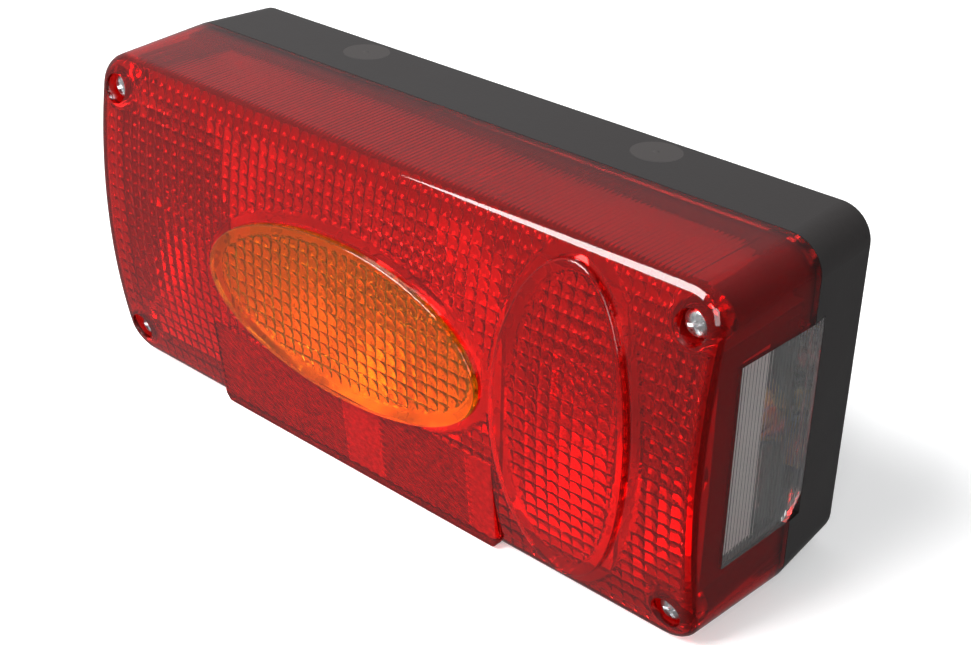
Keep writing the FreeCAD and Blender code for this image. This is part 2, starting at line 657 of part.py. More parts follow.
def make_earth_strip():
    """Brass strip that joins the four socket tabs."""
    body = new_body("earth_strip")
    strip = new_sketch(body, "XZ_Plane", "floor_thick")
    rectangle(strip, "earth_left", "earth_right", "earth_bottom", "tab_top")
    pad(body, strip, "strip_front - floor_thick")
    return body


def make_feed_strip(label, across, row, blade, side):
    """Brass strip from under one contact spring to its upturned blade near the cable."""
    body = new_body(label)
    near, far = "%s - strip_half_width" % across, "%s + strip_half_width" % across
    if side > 0:
        near, far = far, near
    low, high = "%s - strip_half_width" % row, "%s + strip_half_width" % row
    strip = new_sketch(body, "XZ_Plane", "floor_thick")
    polygon(strip, [(near, "feed_top"), (near, low), (blade, low), (blade, high), (far, high),
                    (far, "feed_top")])
    pad(body, strip, "strip_front - floor_thick")
    tab = new_sketch(body, "XZ_Plane", "strip_front")
    rectangle(tab, "%s + %d * blade_thick" % (blade, side), blade, low, high)
    pad(body, tab, "blade_front - strip_front")
    return body


def make_grommet():
    """Rubber grommet in the back wall, with the hole for the cable."""
    body = new_body("cable_grommet")
    inner_lip = "-floor_thick - grommet_flange"
    turn(body, [("grommet_bore_radius", "grommet_flange"),
                ("grommet_hole_radius - grommet_bevel", "grommet_flange"),
                ("grommet_hole_radius", "grommet_flange - grommet_bevel"),
                ("grommet_hole_radius", "-floor_thick"), ("grommet_flange_radius", "-floor_thick"),
                ("grommet_flange_radius", inner_lip), ("grommet_bore_radius", inner_lip)])
    place(body, "grommet_across", "grommet_up")
    return body


def make_stud(label, side):
    """Steel mounting stud: a round head inside, a collar that fills the hole in the back and a shank."""
    body = new_body(label)
    head = "-floor_thick - stud_head_tall"
    turn(body, [("0", head), ("stud_head_radius", head), ("stud_head_radius", "-floor_thick"),
                ("collar_radius", "-floor_thick"), ("collar_radius", "0"),
                ("stud_radius", "0"), ("stud_radius", "stud_reach - stud_point"),
                ("stud_point_radius", "stud_reach"), ("0", "stud_reach")])
    place(body, "%d * stud_half_pitch" % side)
    return body


make_housing()
make_gasket()
make_lens_shell()
make_oval("amber_lens", "amber_across", "amber_half_long", "amber_half_short")
make_oval("fog_lens", "fog_across", "fog_half_short", "fog_half_long")
make_reflex_reflector()
make_reflex_backing()
make_plate_window()
make_reflector_tray()
make_tray_screws()
make_earth_strip()
make_grommet()
for corner_name, (corner_side, corner_level) in CORNERS.items():
    make_lens_screw("lens_screw_" + corner_name, corner_side, corner_level)
    make_lens_washer("lens_washer_" + corner_name, corner_side, corner_level)
for bulb_name, bulb_across in BULBS.items():
    bulb_kind = "small" if bulb_name == "plate" else "large"
    make_socket("socket_" + bulb_name, bulb_across)
    make_carrier("contact_" + bulb_name, bulb_across)
    make_spring("spring_" + bulb_name, bulb_across)
    make_bulb_cap("bulb_cap_" + bulb_name, bulb_across)
    make_bulb_glass("bulb_glass_" + bulb_name, bulb_across, bulb_kind)
    make_filament("filament_" + bulb_name, bulb_across, bulb_kind)
make_feed_strip("feed_strip_stop", "stop_across", "outer_row", "blade_left", -1)
make_feed_strip("feed_strip_indicator", "indicator_across", "inner_row", "blade_left", -1)
make_feed_strip("feed_strip_fog", "fog_bulb_across", "inner_row", "blade_right", 1)
make_feed_strip("feed_strip_plate", "plate_across", "outer_row", "blade_right", 1)
make_stud("stud_left", -1)
make_stud("stud_right", 1)

doc.recompute()
for item in doc.Objects:
    if "Invalid" in item.State or "Error" in item.State:
        raise ValueError("%s did not build" % item.Label)
for body in parts:
    if body.Shape.isNull() or not body.Shape.isValid():
        raise ValueError("%s has no valid shape" % body.Label)

os.makedirs("parts", exist_ok=True)
for body in parts:
    body.Shape.exportStep("parts/%s.step" % body.Label)
    print("%s: %.1f mm3" % (body.Label, body.Shape.Volume))
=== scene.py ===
import bmesh
import bpy
import math
import numpy as np
from mathutils import Matrix, Vector


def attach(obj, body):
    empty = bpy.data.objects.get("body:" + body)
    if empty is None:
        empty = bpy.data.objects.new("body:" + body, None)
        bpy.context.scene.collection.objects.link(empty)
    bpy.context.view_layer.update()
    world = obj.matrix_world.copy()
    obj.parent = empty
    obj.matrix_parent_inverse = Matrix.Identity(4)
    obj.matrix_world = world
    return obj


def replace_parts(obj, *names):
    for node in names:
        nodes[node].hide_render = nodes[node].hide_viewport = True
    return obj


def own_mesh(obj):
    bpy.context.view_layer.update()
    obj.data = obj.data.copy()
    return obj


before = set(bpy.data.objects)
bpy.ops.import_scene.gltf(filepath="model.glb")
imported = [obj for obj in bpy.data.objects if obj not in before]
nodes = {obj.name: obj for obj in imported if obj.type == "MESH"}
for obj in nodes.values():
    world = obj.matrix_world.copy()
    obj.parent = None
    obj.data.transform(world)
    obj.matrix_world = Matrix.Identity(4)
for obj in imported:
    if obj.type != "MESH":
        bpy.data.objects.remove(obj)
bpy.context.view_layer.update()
MM = 0.001

# ---------------------------------------------------------------- red lens cover
# One deep moulding in clear red acrylic. Its face is bent about a long axis behind the lamp, and its
# inner side carries small pillow optics; four screw cups, openings for the inserts and a side opening
# are moulded in. It is held by four screws and lifts off forwards.

BEND_RADIUS, BEND_AXIS = 204.0, 138.4
WALL, GAP, SEAM = 2.5, 0.05, 25.25
HALF_WIDE, HALF_TALL, ROUND = 110, 49.1, 9.0


def face(up, radius=BEND_RADIUS):
    """Depth of the bent face: the root of radius squared less height squared, less its axis's own depth."""
    return np.sqrt(radius ** 2 - np.asarray(up) ** 2) - BEND_AXIS


def outline(wide, tall, bend, arc=9, along=40, up=24):
    """Points round a rectangle with round corners; each corner is an arc and each side is divided evenly."""
    wide, tall, bend = (np.atleast_1d(np.asarray(value, float))[:, None] for value in (wide, tall, bend))
    pieces = []
    for corner, (side, level) in enumerate(((1, 1), (-1, 1), (-1, -1), (1, -1))):
        angle = np.radians(90 * corner + np.linspace(0, 90, arc))[None]
        arc_points = np.stack([side * (wide - bend) + bend * np.cos(angle),
                               level * (tall - bend) + bend * np.sin(angle)], -1)
        pieces.append(arc_points)
    rings = []
    for corner in range(4):
        start, end = pieces[corner][:, -1:], pieces[(corner + 1) % 4][:, :1]
        share = np.linspace(0, 1, (along if corner % 2 == 0 else up) + 1)[None, 1:-1, None]
        rings += [pieces[corner], start + (end - start) * share]
    return np.concatenate(rings, 1)


def put_in(name, vertices, faces):
    """A mesh object from vertices in millimetres (across, depth, up), with its faces turned outwards."""
    points = np.asarray(vertices, float) * (MM, -MM, MM)
    mesh = bpy.data.meshes.new(name)
    mesh.from_pydata(points.tolist(), [], [list(map(int, corners)) for corners in faces])
    shape = bmesh.new()
    shape.from_mesh(mesh)
    bmesh.ops.remove_doubles(shape, verts=shape.verts, dist=1e-6)
    bmesh.ops.recalc_face_normals(shape, faces=shape.faces)
    shape.to_mesh(mesh)
    shape.free()
    piece = bpy.data.objects.new(name, mesh)
    bpy.context.scene.collection.objects.link(piece)
    return piece


def stack(name, rings):
    """A closed solid through equal rings of points (across, depth, up), with flat ends."""
    count, round_count = rings.shape[:2]
    here = np.arange(count * round_count).reshape(count, round_count)
    after = np.roll(here, -1, 1)
    quads = np.stack([here[:-1], after[:-1], after[1:], here[1:]], -1).reshape(-1, 4)
    return put_in(name, rings.reshape(-1, 3), [*quads, here[0][::-1], here[-1]])


def block(name, points, far, split=False):
    """A closed block: a grid of points (across, depth, up), and its outline again at the depths far.
    The grid's cells are four-sided, or cut into triangles by split."""
    rows, columns = points.shape[:2]
    index = np.arange(rows * columns).reshape(rows, columns)
    a, b, c, d = index[:-1, :-1], index[:-1, 1:], index[1:, 1:], index[1:, :-1]
    if split:
        halves = (np.stack([a, b, d], -1), np.stack([b, c, d], -1))
        cells = np.concatenate([half.reshape(-1, 3) for half in halves])
    else:
        cells = np.stack([a, b, c, d], -1).reshape(-1, 4)
    rim = np.concatenate([index[0], index[1:, -1], index[-1, -2::-1], index[-2:0:-1, 0]])
    flat = points.reshape(-1, 3)
    low = flat[rim].copy()
    low[:, 1] = np.broadcast_to(far, points.shape[:2]).reshape(-1)[rim]
    base = len(flat) + np.arange(len(rim))
    walls = np.stack([rim, np.roll(rim, -1), np.roll(base, -1), base], -1)
    return put_in(name, np.concatenate([flat, low]), [*cells, *walls, base[::-1]])


def slab(name, across, up, front, back):
    """A block over a straight grid, from the depths in front to one flat depth."""
    wide, tall = np.meshgrid(across, up)
    return block(name, np.stack([wide, front, tall], -1), back)


def carve(piece, steps, sharp=28):
    """The piece after boolean steps with other solids, which are then removed; its shading is crisp."""
    for operation, tool in steps:
        step = piece.modifiers.new("step", "BOOLEAN")
        step.operation, step.object, step.solver = operation, tool, "MANIFOLD"
    bpy.context.view_layer.update()
    shaped = piece.evaluated_get(bpy.context.evaluated_depsgraph_get())
    mesh = bpy.data.meshes.new_from_object(shaped)
    piece.modifiers.clear()
    old = piece.data
    piece.data = mesh
    bpy.data.meshes.remove(old)
    for _, tool in steps:
        bpy.data.objects.remove(tool)
    return crisp(piece, sharp)


def crisp(piece, sharp=28):
    """Smooth shading, with the edges past sharp degrees kept hard."""
    piece.data.polygons.foreach_set("use_smooth", np.ones(len(piece.data.polygons), bool))
    piece.data.set_sharp_from_angle(angle=math.radians(sharp))
    return piece


def prism(name, points, low, high):
    """A closed solid on an outline given as across and up, between two depths."""
    flat = np.asarray(points, float)
    ends = [np.stack([flat[:, 0], np.full(len(flat), depth), flat[:, 1]], -1) for depth in (low, high)]
    return stack(name, np.stack(ends))


def bar(name, section, left, right):
    """A closed solid on a section given as depth and up, between two places across."""
    flat = np.asarray(section, float)
    ends = [np.stack([np.full(len(flat), across), flat[:, 0], flat[:, 1]], -1) for across in (left, right)]
    return stack(name, np.stack(ends))


def circle(across, up, radius, count=48):
    """Points round a circle."""
    angle = np.linspace(0, 2 * np.pi, count, endpoint=False)
    return np.stack([across + radius * np.cos(angle), up + radius * np.sin(angle)], -1)


AMBER = {"across": -7.0, "half": (50.0, 23.6)}
FOG = {"across": 68.0, "half": (20.6, 44.2)}


def oval(shape, grow, count=144):
    """Points round an oval insert's outline, grown outwards."""
    angle = np.linspace(0, 2 * np.pi, count, endpoint=False)
    wide, tall = shape["half"]
    return np.stack([shape["across"] + (wide + grow) * np.cos(angle), (tall + grow) * np.sin(angle)], -1)


def distance_in(shape, across, up):
    """About how far a point is inside an oval's edge: one less its relative radius, over its slope."""
    wide, tall = shape["half"]
    relative = np.hypot((across - shape["across"]) / wide, up / tall)
    slope = np.hypot((across - shape["across"]) / wide ** 2, up / tall ** 2)
    return (1 - relative) * relative / np.maximum(slope, 1e-6)


PILLOW = (3.6, 3.5, 0.9)


def pillows(across, up):
    """Height of the pillow optics: in each cell, one less half the sum of the squared offsets both ways."""
    wide, tall, high = PILLOW
    over = 2 * np.mod(across / wide, 1) - 1
    along = 2 * np.mod(up / tall + 0.5, 1) - 1
    return high * (1 - (over ** 2 + along ** 2) / 2)


def cell_lines(low, high, pitch, shift, parts=6):
    """Grid lines on every cell border, with each cell divided into equal parts."""
    first = math.floor((low + shift) / pitch)
    last = math.ceil((high + shift) / pitch)
    lines = np.arange(first * parts, last * parts + 1) * pitch / parts - shift
    return np.unique(np.clip(lines, low, high).round(6))


def cover_outside():
    """The outside: drafted sides, then a quarter-round edge, then rings drawn inwards over the bent face."""
    edge = 3.3
    lean = np.linspace(0, 1, 9)
    wide, tall = HALF_WIDE - 2.3 * lean, HALF_TALL - 0.42 * lean
    sides = outline(wide, tall, ROUND)
    depth = SEAM + lean[:, None] * (face(sides[..., 1]) - edge - SEAM)
    turn = np.radians(np.linspace(0, 90, 9))[1:]
    inset = edge * (1 - np.cos(turn))
    rolled = outline(wide[-1] - inset, tall[-1] - inset, ROUND - inset)
    rolled_depth = face(rolled[..., 1]) - (edge * (1 - np.sin(turn)))[:, None]
    inwards = edge + (tall[-1] - edge - 1) * np.linspace(0, 1, 15)[1:]
    cap = outline(wide[-1] - inwards, tall[-1] - inwards, np.maximum(ROUND - inwards, 0.6))
    flat = np.concatenate([sides, rolled, cap])
    deep = np.concatenate([depth, rolled_depth, face(cap[..., 1])])
    return stack("lens_cover", np.stack([flat[..., 0], deep, flat[..., 1]], -1))


SCREW_ACROSS, SCREW_UP = 100.0, 39.25
SCREWS = [(side * SCREW_ACROSS, level * SCREW_UP) for side in (-1, 1) for level in (-1, 1)]


def cover_inside():
    """The hollow: drafted sides with fine ribs along the top, closed by a bent face that is dented by the
    pillows and grows thicker towards both ends. The pillows keep clear of the ovals and the cups."""
    rings = np.array([20.0, 26.0, 27.0, 45.0, 68.0])
    lean = (rings - 20) / 48
    walls = outline(107.5 - 2.5 * lean, 46.6 - 0.45 * lean, ROUND - WALL, along=624)
    top = (walls[..., 1] > 44) & (np.abs(walls[..., 0]) < 96) & (rings[:, None] > 26.5)
    rib_pitch, rib_high = 1.4, 0.18
    rib = np.abs(2 * np.mod(walls[..., 0] / rib_pitch, 1) - 1)
    up = walls[..., 1] - np.where(top, rib_high * rib, 0)
    depth = np.broadcast_to(rings[:, None], up.shape)
    hollow = stack("cover_hollow", np.stack([walls[..., 0], depth, up], -1))
    across = cell_lines(-108, 108, PILLOW[0], 0)
    level = cell_lines(-48, 48, PILLOW[1], PILLOW[1] / 2)
    wide, tall = np.meshgrid(across, level)
    land = np.ones(wide.shape)
    for shape in (AMBER, FOG):
        land *= np.clip((-distance_in(shape, wide, tall) - 2.6) / 0.6, 0, 1)
    land *= np.clip((104.6 - np.abs(wide)) / 0.4, 0, 1)
    for x, z in SCREWS:
        land *= np.clip((np.hypot(wide - x, tall - z) - 6.6) / 0.5, 0, 1)
    thicker = 0.5 * np.clip(np.abs(wide) - 104.4, 0, None)
    dented = face(tall, BEND_RADIUS - WALL) - pillows(wide, tall) * land - thicker
    return carve(hollow, [("INTERSECT", slab("cover_pillows", across, level, dented, 10.0))])


PANEL_LEFT, PANEL_RIGHT, PANEL_TOP = -60.5, 46.5, -20.8


def panel_seat():
    """The room that the flat reflex panel takes out of the face: everything in front of its back plane."""
    section = [(62.04, PANEL_TOP), (75.0, PANEL_TOP), (75.0, -52.0), (59.2, -52.0), (59.2, -48.6)]
    return bar("panel_seat", section, PANEL_LEFT, PANEL_RIGHT)


WINDOW_LOW, WINDOW_HIGH = -27.2, 28.4


def window_opening():
    """The opening in the right side that the clear window fills."""
    corners = [(100.0, WINDOW_LOW), (115.0, WINDOW_LOW), (115.0, WINDOW_HIGH), (100.0, WINDOW_HIGH)]
    return prism("window_opening", corners, 15.0, 52.3)


def lens_cover():
    """The cover: outside less hollow, plus the cups, less the screw bores and the openings."""
    cup, bore, hole = 5.8, 4.3, 2.2
    steps = [("DIFFERENCE", cover_inside())]
    for x, z in SCREWS:
        steps.append(("UNION", prism("cup", circle(x, z, cup), 54.1, 60.3)))
        steps.append(("DIFFERENCE", prism("bore", circle(x, z, bore), 57.2, 80.0)))
        steps.append(("DIFFERENCE", prism("hole", circle(x, z, hole), 50.0, 60.0)))
    for shape in (AMBER, FOG):
        steps.append(("DIFFERENCE", prism("oval_hole", oval(shape, GAP), 54.0, 80.0)))
    steps.append(("DIFFERENCE", panel_seat()))
    steps.append(("DIFFERENCE", window_opening()))
    return carve(cover_outside(), steps)


class Wire:
    """A node socket that can be used in arithmetic: an expression on wires adds its Math nodes."""

    def __init__(self, socket):
        self.socket = socket
        self.tree = socket.id_data

    def math(self, operation, *others):
        node = self.tree.nodes.new("ShaderNodeMath")
        node.operation = operation
        for slot, value in zip(node.inputs, (self, *others)):
            feed(slot, value)
        return Wire(node.outputs[0])

    def __add__(self, other):
        return self.math("ADD", other)

    def __mul__(self, other):
        return self.math("MULTIPLY", other)

    def __sub__(self, other):
        return self.math("SUBTRACT", other)


def feed(slot, value):
    """A wire goes in as a link, anything else as the socket's own value."""
    if isinstance(value, Wire):
        slot.id_data.links.new(value.socket, slot)
    else:
        slot.default_value = value


class Finish:
    """A node material with one surface shader, whose inputs set() fills; node() adds any other node."""

    def __init__(self, name, **values):
        self.material = bpy.data.materials.new(name)
        self.material.use_nodes = True
        self.tree = self.material.node_tree
        self.shader = self.tree.nodes["Principled BSDF"]
        self.set(**values)

    def set(self, **values):
        for name, value in values.items():
            feed(self.shader.inputs[name.replace("_", " ")], value)

    def node(self, kind, settings=None, out=0, **values):
        node = self.tree.nodes.new("ShaderNode" + kind)
        for name, value in (settings or {}).items():
            setattr(node, name, value)
        for name, value in values.items():
            feed(node.inputs[name.replace("_", " ")], value)
        return Wire(node.outputs[out])

    def place(self):
        """The point's own place in the frame, in metres."""
        return self.node("TexCoord", out=3)

    def axis(self, number):
        """One coordinate of the point's place: 0 across, 1 backwards, 2 up."""
        return self.node("SeparateXYZ", out=number, Vector=self.place())

    def noise(self, scale, detail=2.0):
        """Soft random spots, so many to the metre."""
        return self.node("TexNoise", Vector=self.place(), Scale=scale, Detail=detail)

    def blend(self, share, first, second):
        """The mix of two colours."""
        node = self.tree.nodes.new("ShaderNodeMix")
        node.data_type = "RGBA"
        feed(node.inputs["Factor"], share)
        for slot, value in zip((node.inputs[6], node.inputs[7]), (first, second)):
            feed(slot, value)
        return Wire(node.outputs[2])

    def between(self, value, low, high, to_low=0.0, to_high=1.0):
        """The value carried from one range to another, and held inside it."""
        node = self.tree.nodes.new("ShaderNodeMapRange")
        for slot, number in zip(node.inputs, (value, low, high, to_low, to_high)):
            feed(slot, number)
        return Wire(node.outputs[0])

    def bump(self, height, distance, strength=1.0):
        self.set(Normal=self.node("Bump", Height=height, Distance=distance, Strength=strength))
        return self

    def on(self, *pieces):
        for piece in pieces:
            piece.data.materials.clear()
            piece.data.materials.append(self.material)
        return self


def acrylic(name, colour):
    """Moulded acrylic: clear and tinted, with faint wipe marks in its gloss."""
    finish = Finish(name, Base_Color=(*colour, 1), IOR=1.49, Transmission_Weight=0.96)
    wipes = finish.between(finish.noise(90.0, 4.0), 0.45, 0.75)
    finish.set(Roughness=wipes * 0.05 + 0.02)
    return finish


cover = lens_cover()
RED = (0.95, 0.014, 0.013)
red = acrylic("red_acrylic", RED)
# Painted shade: the red darkens towards the seam, behind about 27 mm deep, in place of the shade seen through
# the plain wall there.
painted_seam_shade = red.between(red.axis(1), -0.0286, -0.0272)
red.set(Base_Color=red.blend(painted_seam_shade, (*RED, 1), (0.2, 0.006, 0.006, 1)))
red.on(cover)
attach(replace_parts(cover, "lens_shell"), "lens")

# ---------------------------------------------------------------- raised ovals
# Two oval inserts welded into the face: a level one in amber acrylic for the indicator and an upright
# red one. Each stands a little proud, with a plain border and pillow optics inside.


def oval_insert(name, shape, rise=1.5, edge=0.6, border=3.6):
    """An oval prism with a small round edge and a bent front, dented from behind by the pillows."""
    turn = np.radians(np.linspace(0, 90, 6))
    inwards = min(shape["half"]) - edge - 0.5
    inset = np.concatenate([[0.0], edge * (1 - np.cos(turn)), edge + inwards * np.linspace(0, 1, 14)[1:]])
    drop = np.concatenate([[0.0], edge * (1 - np.sin(turn)), np.zeros(13)])
    rings = np.stack([oval(shape, -amount) for amount in inset])
    depth = face(rings[..., 1], BEND_RADIUS + rise) - drop[:, None]
    depth[0] = 56.0
    solid = stack(name, np.stack([rings[..., 0], depth, rings[..., 1]], -1))
    wide, tall = shape["half"]
    across = cell_lines(shape["across"] - wide - 1, shape["across"] + wide + 1, PILLOW[0], 0)
    level = cell_lines(-tall - 1, tall + 1, PILLOW[1], PILLOW[1] / 2)
    over, up = np.meshgrid(across, level)
    land = np.clip((distance_in(shape, over, up) - border) / 0.6, 0, 1)
    dented = face(up, BEND_RADIUS - WALL) - pillows(over, up) * land
    return carve(solid, [("DIFFERENCE", slab("insert_pillows", across, level, dented, 40.0))])


amber_insert = oval_insert("amber_insert", AMBER)
acrylic("amber_acrylic", (1.0, 0.3, 0.008)).on(amber_insert)
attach(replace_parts(amber_insert, "amber_lens"), "lens")
fog_insert = oval_insert("fog_insert", FOG)
red.on(fog_insert)
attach(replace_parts(fog_insert, "fog_lens"), "lens")

# ---------------------------------------------------------------- reflex panel
# A flat panel of red acrylic let into the lower edge of the face. Its back is moulded in cube corners,
# in four fields that point two ways, and a thin plate welded behind keeps them dry.

FIELDS = (-8.0, 6.0, 38.0)
PANEL_HIGH, PANEL_LOW, PANEL_TALL = 64.54, 61.7, 27.8
PANEL_PLAIN = -46.6


def panel_front(up):
    """Depth of the panel's front: a straight slope from its top edge to its foot."""
    return PANEL_HIGH - (PANEL_TOP - np.asarray(up)) * (PANEL_HIGH - PANEL_LOW) / PANEL_TALL


def cube_corners(flats=2.1):
    """Back of the panel: points of a triangular lattice at heights 0, 1 and 2 in turn, which makes slightly
    blunt cube corners of that width across flats. Every other field has its heights turned over, and the
    foot is plain."""
    side = flats / math.sqrt(3)
    step = 0.63 * side
    column, row = np.meshgrid(np.arange(-72, 46), np.arange(-50, -15))
    across = (column - 0.5 * row) * side
    up = row * side * math.sqrt(3) / 2
    level = np.mod(column + row, 3)
    turned = np.searchsorted(FIELDS, across) % 2 == 1
    level = np.where(turned, 2 - level, level) * (up > PANEL_PLAIN)
    return np.stack([across, panel_front(up) - WALL + level * step, up], -1)


def reflex_panel():
    """The cube corners and the sloping front, cut to the panel's edge: two round lower corners, and the
    amber oval's outline taken out of its top."""
    back = cube_corners()
    corner = np.radians(np.linspace(0, 90, 8))
    right = np.stack([PANEL_RIGHT - 2 + 2 * np.sin(corner), PANEL_PLAIN - 2 * np.cos(corner)], -1)
    left = np.stack([PANEL_LEFT + 2 - 2 * np.cos(corner), PANEL_PLAIN - 2 * np.sin(corner)], -1)
    border = np.concatenate([[(PANEL_RIGHT, -20.85), (PANEL_LEFT, -20.85)], left, right])
    steps = [("INTERSECT", prism("panel_border", border, 50, 80)),
             ("DIFFERENCE", prism("panel_oval", oval(AMBER, GAP), 50, 80))]
    return carve(block("reflex_panel", back, panel_front(back[..., 2]), split=True), steps, 12)


def paint_facet_light(piece):
    """Painted light and shade: a value for each facet by the sixth of a turn that it faces, standing in for
    the light that the cube corners send back, and the second finish on those that face backwards. Two fields
    are painted brighter and the plain foot is painted dark, as shade."""
    count = len(piece.data.polygons)
    normal, centre = np.empty(count * 3), np.empty(count * 3)
    piece.data.polygons.foreach_get("normal", normal)
    piece.data.polygons.foreach_get("center", centre)
    facing = np.mod(np.arctan2(normal[2::3], normal[::3]) * 3 / np.pi, 6).astype(int)
    bright = np.searchsorted(FIELDS, centre[::3] / MM) % 2 == 1
    # Painted light: brighter or darker by the way each facet faces, and brighter in two fields.
    painted_facet_light = np.array([0.1, 0.8, 0.4, 0.1, 0.55, 0.3])[facing] * (1 - 0.3 * bright) + 0.4 * bright
    # Painted shade on the plain foot.
    painted_facet_light[centre[2::3] / MM < -46.4] = -1.0
    piece.data.attributes.new("painted_facet_light", "FLOAT", "FACE").data.foreach_set("value", painted_facet_light.astype(np.float32))
    piece.data.polygons.foreach_set("material_index", (normal[1::3] > 0.2).astype(np.int32))


panel = reflex_panel()
red.on(panel, nodes["reflex_backing"])
# Painted light: the backs of the cube corners run from near black to bright red by each facet's painted
# value, with a fine noise, in place of the light they send back.
cubes = Finish("cube_corners", Transmission_Weight=0.15, IOR=1.49, Roughness=0.3)
painted_facet_light = cubes.node("Attribute", {"attribute_name": "painted_facet_light"}, out=2) + cubes.noise(650.0) * 1.2 - 0.6
glint = cubes.between(painted_facet_light, -0.3, 0.8)
cubes.set(Base_Color=cubes.blend(glint, (0.07, 0.002, 0.002, 1), (1.0, 0.06, 0.05, 1)))
panel.data.materials.append(cubes.material)
paint_facet_light(panel)
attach(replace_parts(panel, "reflex_reflector"), "lens")

# ---------------------------------------------------------------- plate window
# A clear acrylic strip welded into the right side, with fine upright ribs on its inner side that
# spread light over the number plate. Its rear edge is a tongue that enters the housing.


def plate_window():
    """The window's section, outer face and ribbed inner face, drawn out upwards, with its lower rear corner
    cut off. Each rib is a bell curve: the exponential of less the squared offset, over its width squared."""
    wall, rib_high, rib_pitch, rib_width = 2.42, 0.06, 1.3, 0.09
    depth = np.linspace(52.3, 20.7, 400)
    in_front = HALF_WIDE - (depth - SEAM) * 2.5 / 41.75
    in_housing = HALF_WIDE - (SEAM - depth) * 0.24 / 4.55
    outside = np.where(depth > SEAM, in_front, in_housing)
    rib = np.exp(-((np.mod(depth / rib_pitch, 1) - 0.5) / rib_width) ** 2)
    inside = outside - wall - rib_high * rib
    section = np.concatenate([np.stack([outside, depth], -1), np.stack([inside, depth], -1)[::-1]])
    ends = [np.column_stack([section, np.full(len(section), up)]) for up in (WINDOW_LOW, WINDOW_HIGH)]
    wedge = bar("corner_cut", [(20.2, -28.0), (27.5, -28.0), (20.2, -20.7)], 90.0, 120.0)
    return carve(stack("side_window", np.stack(ends)), [("DIFFERENCE", wedge)])


window = plate_window()
acrylic("clear_acrylic", (0.97, 0.965, 0.955)).on(window)
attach(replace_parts(window, "plate_window"), "lens")

# ---------------------------------------------------------------- reflector tray
# One grey moulding behind the lens with a metallised bowl for each bulb. Its right side is dark with a
# pale band that shows through the window; four screws in deep wells hold it to the housing's pillars.

TRAY_FLOOR = 25.4
BULBS = {"stop": -90.0, "indicator": -7.0, "fog": 62.0, "plate": 94.5}
ROOMS = {"stop": (-103.2, -58.1), "indicator": (-56.9, 44.7), "fog": (45.9, 81.4), "plate": (82.6, 103.2)}


def stepped(wide, tall, step_across, step_up):
    """A rectangle with a square step cut out of each corner."""
    quarter = [(wide, step_up), (step_across, step_up), (step_across, tall)]
    mirrored = [(-x, z) for x, z in reversed(quarter)]
    top = quarter + mirrored
    return np.array(top + [(x, -z) for x, z in reversed(top)])


def bowl(name, left, right):
    """The hollow in front of one bulb: its depth grows with the square of the distance from the bulb, up to
    a flat land, and it keeps inside the tray's stepped corners."""
    across, up = np.linspace(left, right, 57), np.linspace(-38.8, 38.8, 79)
    wide, tall = np.meshgrid(across, up)
    depth = np.minimum(TRAY_FLOOR + 0.016 * ((wide - BULBS[name]) ** 2 + tall ** 2), 55.5)
    limits = prism("room_limits", stepped(103.2, 38.8, 92.5, 31.7), 10, 90)
    return carve(slab("bowl", across, up, depth, 80.0), [("INTERSECT", limits)])


def reflector_tray():
    """The outer block less its bowls, the bulb holes, the screw wells and the side opening."""
    steps = [("DIFFERENCE", bowl(name, *room)) for name, room in ROOMS.items()]
    steps += [("DIFFERENCE", prism("bulb_hole", circle(x, 0, 9.5), 20, 60)) for x in BULBS.values()]
    for x in (-50, 40):
        for z in (-35, 35):
            steps.append(("DIFFERENCE", prism("well", circle(x, z, 3.7, 32), TRAY_FLOOR, 80)))
            steps.append(("DIFFERENCE", prism("screw_hole", circle(x, z, 1.6, 24), 20, 30)))
    side = [(102.0, -29.0), (107.0, -29.0), (107.0, 30.0), (102.0, 30.0)]
    steps.append(("DIFFERENCE", prism("side_opening", side, TRAY_FLOOR, 37.0)))
    return carve(prism("bulb_tray", stepped(104.4, 40.0, 93.7, 32.9), 24.2, 57.0), steps)


def paint_tray(piece):
    """Finishes by face: 0 bright inside, 1 bare outside, 2 the right side, 3 painted shade round the plate
    bulb.
    """
    centre = np.empty(len(piece.data.polygons) * 3)
    piece.data.polygons.foreach_get("center", centre)
    x, depth, z = np.abs(centre.reshape(-1, 3).T / MM)
    edge = (np.abs(x - 103.8) < 0.7) | (np.abs(z - 40) < 0.05) | (depth < 24.3) | (depth > 56.9)
    step = ((np.abs(x - 93.7) < 0.05) & (z > 32.8)) | ((np.abs(z - 32.9) < 0.05) & (x > 93.6))
    right_side = centre[::3] / MM > 104.3
    # Painted shade: the floor of the plate bulb's room, which lies in shade behind the window.
    shaded_plate_floor = (centre[::3] / MM > 81.5) & (depth < 33)
    index = np.select([right_side, shaded_plate_floor, edge | step], [2, 3, 1], 0)
    piece.data.polygons.foreach_set("material_index", index.astype(np.int32))


tray = reflector_tray()
mirror = Finish("metallised", Base_Color=(0.95, 0.95, 0.95, 1), Metallic=0.45)
mirror.set(Roughness=mirror.between(mirror.noise(160.0), 0.3, 0.7, 0.24, 0.34))
bare = Finish("grey_plastic", Roughness=0.5)
bare.set(Base_Color=bare.blend(bare.noise(60.0, 3.0), (0.2, 0.2, 0.2, 1), (0.28, 0.28, 0.28, 1)))
banded = Finish("side_strip", Roughness=0.35)
in_height = banded.between(banded.axis(2).math("ABSOLUTE"), 0.0268, 0.027, 1.0, 0.0)
back_half = banded.between(banded.axis(1), -0.0482, -0.048)
front_half = banded.between(banded.axis(1), -0.037, -0.0368, 1.0, 0.0)
pale = banded.blend(banded.noise(200.0), (0.95, 0.84, 0.82, 1), (0.98, 0.9, 0.88, 1))
banded.set(Base_Color=banded.blend(back_half * front_half * in_height, (0.03, 0.03, 0.03, 1), pale))
